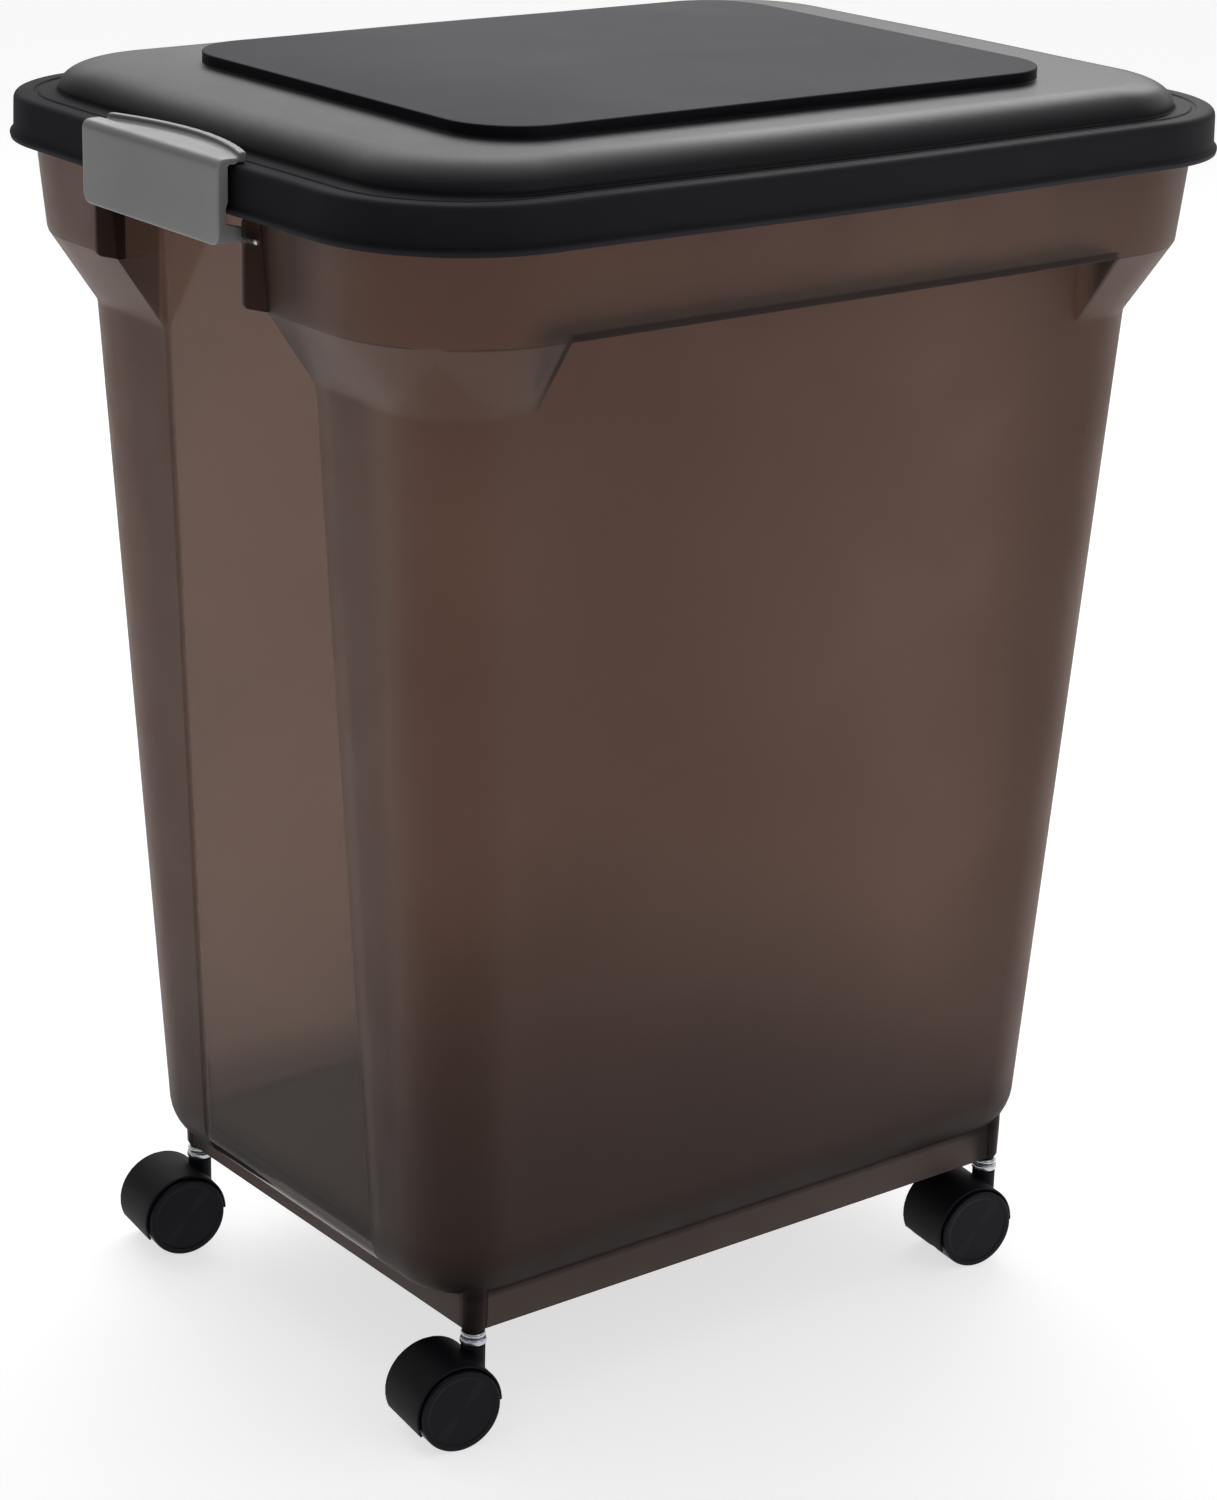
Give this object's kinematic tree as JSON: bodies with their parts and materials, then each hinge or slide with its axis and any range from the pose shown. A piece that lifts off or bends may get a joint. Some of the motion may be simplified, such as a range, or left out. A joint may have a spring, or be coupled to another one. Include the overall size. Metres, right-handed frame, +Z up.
{
  "type": "rolling pet food storage bin",
  "caption": "Tall translucent rolling storage bin for dry pet food, with a lift-off black lid held down by swinging side latches and swivel casters under its base.",
  "frame": {"origin": "on the floor at the centre of the bin", "axes": "+Z up, +X along the long side, -Y towards the front face; a latch at each end of X"},
  "size_m": [0.498, 0.3692, 0.5965],
  "materials": {
    "smoke_plastic": "smoke-brown translucent polypropylene, finely frosted",
    "lid_plastic": "satin black moulded plastic",
    "latch_plastic": "satin mid-grey moulded plastic",
    "seal_rubber": "soft black rubber",
    "zinc_steel": "bright zinc plate",
    "caster_plastic": "satin black nylon",
    "wheel_plastic": "smooth black nylon"
  },
  "bodies": {
    "bin": {"bin_body": "smoke_plastic", "latch_pin_left": "zinc_steel", "latch_pin_right": "zinc_steel", "caster_front_left_socket": "zinc_steel", "caster_front_right_socket": "zinc_steel", "caster_back_left_socket": "zinc_steel", "caster_back_right_socket": "zinc_steel"},
    "lid": {"lid": "lid_plastic", "lid_seal": "seal_rubber"},
    "latch_left": {"latch_left": "latch_plastic"},
    "latch_right": {"latch_right": "latch_plastic"},
    "caster_front_left": {"caster_front_left_stem": "zinc_steel", "caster_front_left_hood": "caster_plastic", "caster_front_left_axle": "zinc_steel"},
    "caster_front_left_wheel_a": {"caster_front_left_wheel_a": "wheel_plastic"},
    "caster_front_left_wheel_b": {"caster_front_left_wheel_b": "wheel_plastic"},
    "caster_front_right": {"caster_front_right_stem": "zinc_steel", "caster_front_right_hood": "caster_plastic", "caster_front_right_axle": "zinc_steel"},
    "caster_front_right_wheel_a": {"caster_front_right_wheel_a": "wheel_plastic"},
    "caster_front_right_wheel_b": {"caster_front_right_wheel_b": "wheel_plastic"},
    "caster_back_left": {"caster_back_left_stem": "zinc_steel", "caster_back_left_hood": "caster_plastic", "caster_back_left_axle": "zinc_steel"},
    "caster_back_left_wheel_a": {"caster_back_left_wheel_a": "wheel_plastic"},
    "caster_back_left_wheel_b": {"caster_back_left_wheel_b": "wheel_plastic"},
    "caster_back_right": {"caster_back_right_stem": "zinc_steel", "caster_back_right_hood": "caster_plastic", "caster_back_right_axle": "zinc_steel"},
    "caster_back_right_wheel_a": {"caster_back_right_wheel_a": "wheel_plastic"},
    "caster_back_right_wheel_b": {"caster_back_right_wheel_b": "wheel_plastic"}
  },
  "joints": [
    {"name": "lid_lift", "type": "slide", "parent": "bin", "child": "lid", "axis": [0, 0, 1], "range_m": [0, 0.35]},
    {"name": "latch_left_swing", "type": "hinge", "parent": "bin", "child": "latch_left", "pos_m": [-0.235, 0, 0.5482], "axis": [0, -1, 0], "range_deg": [0, 120]},
    {"name": "latch_right_swing", "type": "hinge", "parent": "bin", "child": "latch_right", "pos_m": [0.235, 0, 0.5482], "axis": [0, 1, 0], "range_deg": [0, 120]},
    {"name": "caster_front_left_swivel", "type": "hinge", "parent": "bin", "child": "caster_front_left", "pos_m": [-0.1582, -0.1176, 0.045], "axis": [0, 0, 1], "continuous": true},
    {"name": "caster_front_left_wheel_a_roll", "type": "hinge", "parent": "caster_front_left", "child": "caster_front_left_wheel_a", "pos_m": [-0.17296, -0.11558, 0.0199], "axis": [-0.1357, -0.9907, 0], "continuous": true},
    {"name": "caster_front_left_wheel_b_roll", "type": "hinge", "parent": "caster_front_left", "child": "caster_front_left_wheel_b", "pos_m": [-0.17296, -0.11558, 0.0199], "axis": [-0.1357, -0.9907, 0], "continuous": true},
    {"name": "caster_front_right_swivel", "type": "hinge", "parent": "bin", "child": "caster_front_right", "pos_m": [0.1582, -0.1176, 0.045], "axis": [0, 0, 1], "continuous": true},
    {"name": "caster_front_right_wheel_a_roll", "type": "hinge", "parent": "caster_front_right", "child": "caster_front_right_wheel_a", "pos_m": [0.14344, -0.11558, 0.0199], "axis": [-0.1357, -0.9907, 0], "continuous": true},
    {"name": "caster_front_right_wheel_b_roll", "type": "hinge", "parent": "caster_front_right", "child": "caster_front_right_wheel_b", "pos_m": [0.14344, -0.11558, 0.0199], "axis": [-0.1357, -0.9907, 0], "continuous": true},
    {"name": "caster_back_left_swivel", "type": "hinge", "parent": "bin", "child": "caster_back_left", "pos_m": [-0.1582, 0.1176, 0.045], "axis": [0, 0, 1], "continuous": true},
    {"name": "caster_back_left_wheel_a_roll", "type": "hinge", "parent": "caster_back_left", "child": "caster_back_left_wheel_a", "pos_m": [-0.17296, 0.11962, 0.0199], "axis": [-0.1357, -0.9907, 0], "continuous": true},
    {"name": "caster_back_left_wheel_b_roll", "type": "hinge", "parent": "caster_back_left", "child": "caster_back_left_wheel_b", "pos_m": [-0.17296, 0.11962, 0.0199], "axis": [-0.1357, -0.9907, 0], "continuous": true},
    {"name": "caster_back_right_swivel", "type": "hinge", "parent": "bin", "child": "caster_back_right", "pos_m": [0.1582, 0.1176, 0.045], "axis": [0, 0, 1], "continuous": true},
    {"name": "caster_back_right_wheel_a_roll", "type": "hinge", "parent": "caster_back_right", "child": "caster_back_right_wheel_a", "pos_m": [0.14344, 0.11962, 0.0199], "axis": [-0.1357, -0.9907, 0], "continuous": true},
    {"name": "caster_back_right_wheel_b_roll", "type": "hinge", "parent": "caster_back_right", "child": "caster_back_right_wheel_b", "pos_m": [0.14344, 0.11962, 0.0199], "axis": [-0.1357, -0.9907, 0], "continuous": true}
  ]
}
